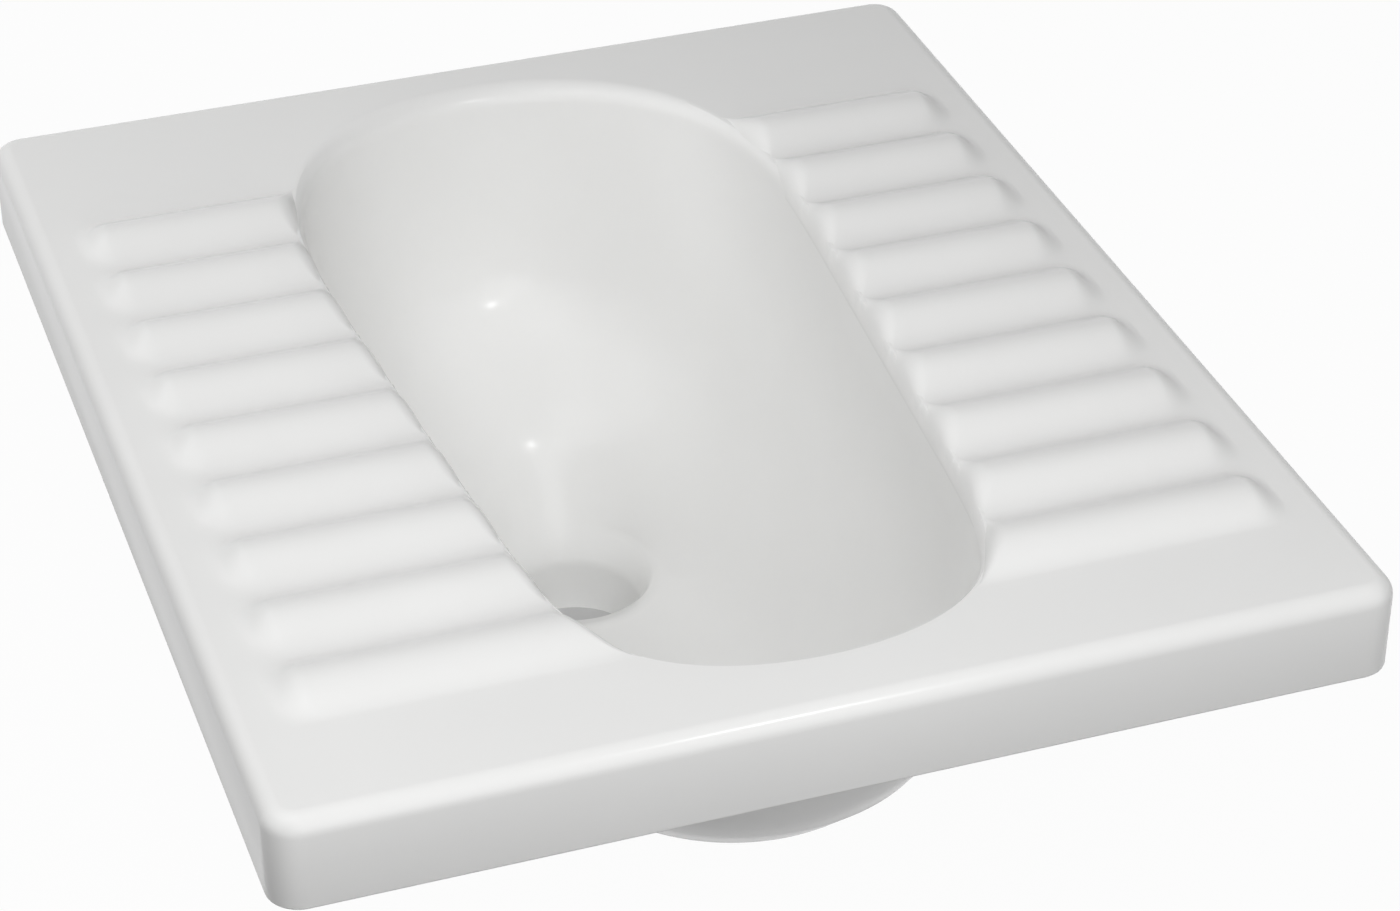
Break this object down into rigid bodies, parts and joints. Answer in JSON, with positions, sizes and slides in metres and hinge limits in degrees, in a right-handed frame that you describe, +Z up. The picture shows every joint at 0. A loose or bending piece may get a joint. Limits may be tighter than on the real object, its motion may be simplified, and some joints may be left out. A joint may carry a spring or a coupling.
{
  "type": "squat toilet",
  "caption": "Floor-level squatting pan: ribbed rectangular foot plate with a skirt, a deep egg-shaped bowl with a rolled rim, and an outlet spigot below.",
  "frame": {"origin": "middle of the foot plate, level with the foot of its skirt, which sits on the floor", "axes": "+Z up, +Y along the pan from the bowl's narrow end to its wide end, under which the outlet lies, +X across the pan"},
  "size_m": [0.5, 0.6, 0.258],
  "materials": {
    "china": "white gloss glaze"
  },
  "bodies": {
    "root": {"foot_plate": "china", "left_treads": "china", "right_treads": "china", "bowl": "china", "outlet_spigot": "china", "left_webs": "china", "right_webs": "china"}
  },
  "joints": []
}
